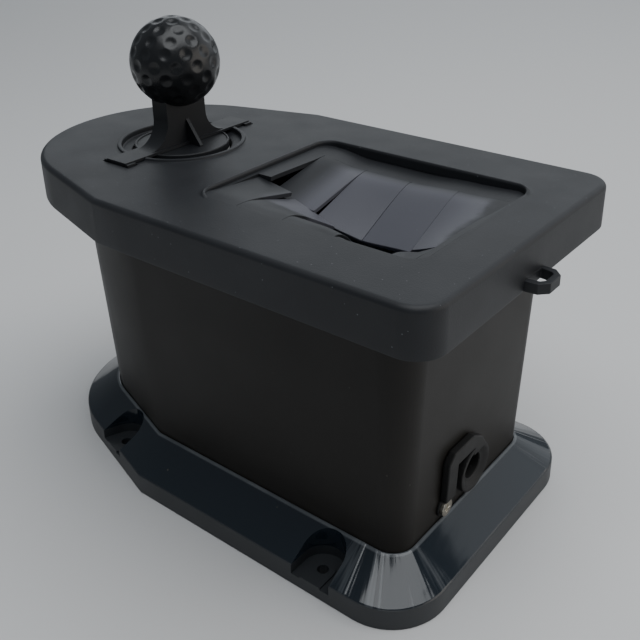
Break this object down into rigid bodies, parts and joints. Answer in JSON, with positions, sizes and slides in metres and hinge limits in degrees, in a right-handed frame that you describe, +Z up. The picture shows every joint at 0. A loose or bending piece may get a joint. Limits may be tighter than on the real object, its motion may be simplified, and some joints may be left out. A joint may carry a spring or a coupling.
{
  "type": "golf club and ball washer",
  "caption": "Bolt-down water tank with a lift-off cover, slit rubber flaps over inner club brushes, a knobbed ball lifter in a port and a tethered drain plug.",
  "frame": {"origin": "on the ground, at the middle of the whole washer's length and width", "axes": "+Z up, +X towards the club end with the drain plug and loop, +Y towards the side away from a viewer who has the ball knob on the left"},
  "size_m": [0.2706, 0.153, 0.2161],
  "materials": {
    "gloss_abs": "polished",
    "tank_plastic": "satin, fine grain",
    "cover_plastic": "matte, fine grain, light dust",
    "inner_black_plastic": "satin",
    "blue_bristle": "nylon tufts",
    "knob_plastic": "satin",
    "stainless_screw": "bright, slightly scuffed",
    "zinc_screw": "zinc plated",
    "flap_rubber": "smooth, dusty",
    "plug_rubber": "matte moulded",
    "white_plastic": "moulded"
  },
  "bodies": {
    "tank_body": {"mounting_base": "gloss_abs", "tank": "tank_plastic", "tank_screws": "zinc_screw", "club_brush_rack": "white_plastic", "rack_screws": "zinc_screw", "near_club_brush_back": "white_plastic", "near_club_bristles": "blue_bristle", "far_club_brush_back": "white_plastic", "far_club_bristles": "blue_bristle", "floor_brush_back": "white_plastic", "floor_bristles": "blue_bristle", "ball_brush_holder": "white_plastic", "holder_screws": "zinc_screw", "near_ball_brush_back": "white_plastic", "near_ball_bristles": "blue_bristle", "far_ball_brush_back": "white_plastic", "far_ball_bristles": "blue_bristle", "plug_tether": "plug_rubber", "tether_screw": "stainless_screw"},
    "drain_stopper": {"drain_plug": "plug_rubber"},
    "cover": {"top_cover": "cover_plastic", "splash_guard": "flap_rubber", "guard_clamp": "inner_black_plastic", "clamp_screws": "zinc_screw"},
    "ball_lifter": {"ball_knob": "knob_plastic", "lifter_handle": "knob_plastic", "knob_screw": "zinc_screw", "ball_cage": "white_plastic", "cage_screws": "zinc_screw"},
    "near_flap_1": {"near_flap_1": "flap_rubber"},
    "near_flap_2": {"near_flap_2": "flap_rubber"},
    "near_flap_3": {"near_flap_3": "flap_rubber"},
    "near_flap_4": {"near_flap_4": "flap_rubber"},
    "near_flap_5": {"near_flap_5": "flap_rubber"},
    "far_flap_1": {"far_flap_1": "flap_rubber"},
    "far_flap_2": {"far_flap_2": "flap_rubber"},
    "far_flap_3": {"far_flap_3": "flap_rubber"},
    "far_flap_4": {"far_flap_4": "flap_rubber"}
  },
  "joints": [
    {"name": "cover_lift", "type": "slide", "parent": "tank_body", "child": "cover", "axis": [0, 0, 1], "range_m": [0, 0.17]},
    {"name": "ball_lift", "type": "slide", "parent": "cover", "child": "ball_lifter", "axis": [0, 0, 1], "range_m": [0, 0.118]},
    {"name": "drain_pull", "type": "slide", "parent": "tank_body", "child": "drain_stopper", "axis": [0.9992, 0, -0.0405], "range_m": [0, 0.012]},
    {"name": "near_flap_1_bend", "type": "hinge", "parent": "cover", "child": "near_flap_1", "pos_m": [0.047, -0.042, 0.1501], "axis": [-1, 0, 0], "range_deg": [-35, 60], "stiffness_Nm_per_rad": 0.04},
    {"name": "near_flap_2_bend", "type": "hinge", "parent": "cover", "child": "near_flap_2", "pos_m": [0.047, -0.042, 0.1501], "axis": [-1, 0, 0], "range_deg": [-35, 60], "stiffness_Nm_per_rad": 0.04},
    {"name": "near_flap_3_bend", "type": "hinge", "parent": "cover", "child": "near_flap_3", "pos_m": [0.047, -0.042, 0.1501], "axis": [-1, 0, 0], "range_deg": [-35, 60], "stiffness_Nm_per_rad": 0.04},
    {"name": "near_flap_4_bend", "type": "hinge", "parent": "cover", "child": "near_flap_4", "pos_m": [0.047, -0.042, 0.1501], "axis": [-1, 0, 0], "range_deg": [-35, 60], "stiffness_Nm_per_rad": 0.04},
    {"name": "near_flap_5_bend", "type": "hinge", "parent": "cover", "child": "near_flap_5", "pos_m": [0.047, -0.042, 0.1501], "axis": [-1, 0, 0], "range_deg": [-35, 60], "stiffness_Nm_per_rad": 0.04},
    {"name": "far_flap_1_bend", "type": "hinge", "parent": "cover", "child": "far_flap_1", "pos_m": [0.047, 0.0285, 0.1501], "axis": [1, 0, 0], "range_deg": [-35, 60], "stiffness_Nm_per_rad": 0.04},
    {"name": "far_flap_2_bend", "type": "hinge", "parent": "cover", "child": "far_flap_2", "pos_m": [0.047, 0.0285, 0.1501], "axis": [1, 0, 0], "range_deg": [-35, 60], "stiffness_Nm_per_rad": 0.04},
    {"name": "far_flap_3_bend", "type": "hinge", "parent": "cover", "child": "far_flap_3", "pos_m": [0.047, 0.0285, 0.1501], "axis": [1, 0, 0], "range_deg": [-35, 60], "stiffness_Nm_per_rad": 0.04},
    {"name": "far_flap_4_bend", "type": "hinge", "parent": "cover", "child": "far_flap_4", "pos_m": [0.047, 0.0285, 0.1501], "axis": [1, 0, 0], "range_deg": [-35, 60], "stiffness_Nm_per_rad": 0.04}
  ]
}
